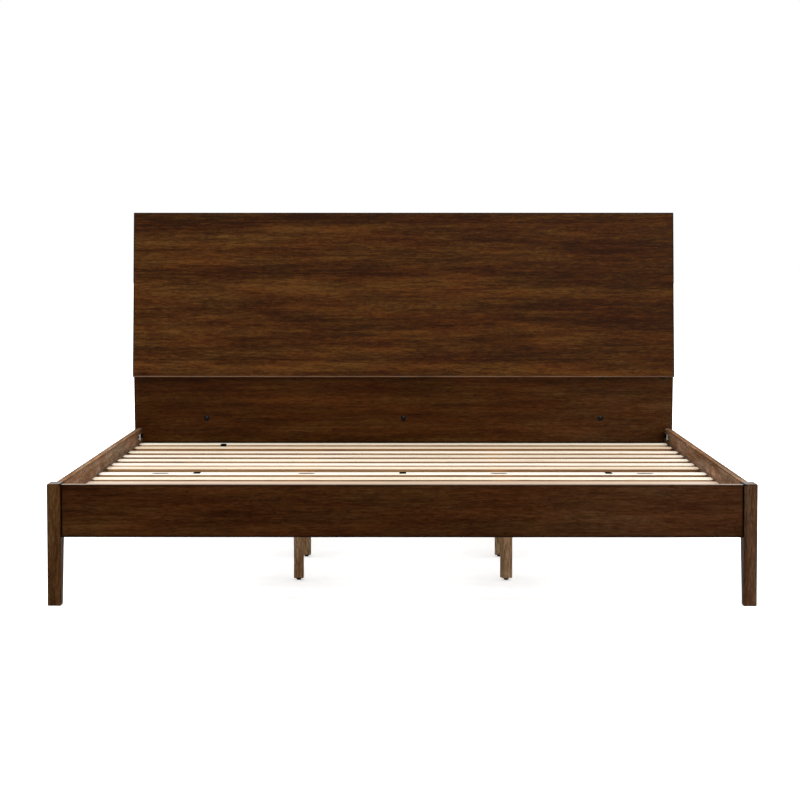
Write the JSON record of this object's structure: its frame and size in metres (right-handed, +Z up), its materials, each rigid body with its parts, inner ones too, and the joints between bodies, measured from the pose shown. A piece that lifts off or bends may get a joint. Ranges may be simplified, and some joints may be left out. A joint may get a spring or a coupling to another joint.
{
  "type": "bed frame",
  "caption": "Wooden platform bed frame with tapered legs, a two-panel leaning headboard, a webbed slat deck, centre beams and screw-adjusted levelling feet.",
  "frame": {"origin": "on the floor at the middle of the frame's bounding box", "axes": "+X to the right seen from the foot end, +Y from the foot to the head, +Z up"},
  "size_m": [2.03, 2.18, 1.1531],
  "materials": {
    "walnut_legs": "walnut stain, satin lacquer",
    "walnut_rails": "walnut stain, satin lacquer",
    "walnut_struts": "walnut stain, matt lacquer",
    "walnut_panels": "walnut veneer, satin lacquer",
    "dowel_wood": "bare beech",
    "ledger_wood": "walnut stain, matt",
    "beam_wood": "bare hardwood",
    "centre_leg_wood": "thin brown stain",
    "slat_pine": "bare planed pine",
    "webbing": "woven black webbing",
    "black_steel": "black oxide",
    "bright_zinc": "bright zinc plating",
    "black_nylon": "moulded nylon"
  },
  "bodies": {
    "frame": {"front_leg_left": "walnut_legs", "front_leg_right": "walnut_legs", "rear_post_left": "walnut_legs", "rear_post_right": "walnut_legs", "foot_rail": "walnut_rails", "side_rail_left": "walnut_rails", "side_rail_right": "walnut_rails", "headboard_strut_left": "walnut_struts", "headboard_strut_centre": "walnut_struts", "headboard_strut_right": "walnut_struts", "headboard_lower_panel": "walnut_panels", "headboard_upper_panel": "walnut_panels", "foot_rail_dowels": "dowel_wood", "slat_ledger_left": "ledger_wood", "slat_ledger_right": "ledger_wood", "beam_sockets_foot": "ledger_wood", "beam_sockets_head": "ledger_wood", "centre_beam_left": "beam_wood", "centre_beam_right": "beam_wood", "centre_leg_left_1": "centre_leg_wood", "centre_leg_left_2": "centre_leg_wood", "centre_leg_left_3": "centre_leg_wood", "centre_leg_right_1": "centre_leg_wood", "centre_leg_right_2": "centre_leg_wood", "centre_leg_right_3": "centre_leg_wood", "slat_01": "slat_pine", "slat_02": "slat_pine", "slat_03": "slat_pine", "slat_04": "slat_pine", "slat_05": "slat_pine", "slat_06": "slat_pine", "slat_07": "slat_pine", "slat_08": "slat_pine", "slat_09": "slat_pine", "slat_10": "slat_pine", "slat_11": "slat_pine", "slat_12": "slat_pine", "slat_13": "slat_pine", "strap_left": "webbing", "strap_centre": "webbing", "strap_right": "webbing", "bed_bolts": "black_steel", "headboard_bolts": "black_steel", "headboard_small_screws": "black_steel", "upper_panel_screws": "black_steel", "ledger_screws": "black_steel", "slat_screws": "black_steel", "half_moon_washers": "bright_zinc", "bed_bolt_nuts": "bright_zinc", "hanger_bolts": "bright_zinc", "foot_inserts": "bright_zinc"},
    "foot_left_1": {"levelling_foot_left_1": "black_nylon"},
    "foot_left_2": {"levelling_foot_left_2": "black_nylon"},
    "foot_left_3": {"levelling_foot_left_3": "black_nylon"},
    "foot_right_1": {"levelling_foot_right_1": "black_nylon"},
    "foot_right_2": {"levelling_foot_right_2": "black_nylon"},
    "foot_right_3": {"levelling_foot_right_3": "black_nylon"}
  },
  "joints": [
    {"name": "foot_left_1_screw", "type": "slide", "parent": "frame", "child": "foot_left_1", "axis": [0, 0, -1], "range_m": [0, 0.012]},
    {"name": "foot_left_2_screw", "type": "slide", "parent": "frame", "child": "foot_left_2", "axis": [0, 0, -1], "range_m": [0, 0.012]},
    {"name": "foot_left_3_screw", "type": "slide", "parent": "frame", "child": "foot_left_3", "axis": [0, 0, -1], "range_m": [0, 0.012]},
    {"name": "foot_right_1_screw", "type": "slide", "parent": "frame", "child": "foot_right_1", "axis": [0, 0, -1], "range_m": [0, 0.012]},
    {"name": "foot_right_2_screw", "type": "slide", "parent": "frame", "child": "foot_right_2", "axis": [0, 0, -1], "range_m": [0, 0.012]},
    {"name": "foot_right_3_screw", "type": "slide", "parent": "frame", "child": "foot_right_3", "axis": [0, 0, -1], "range_m": [0, 0.012]}
  ]
}
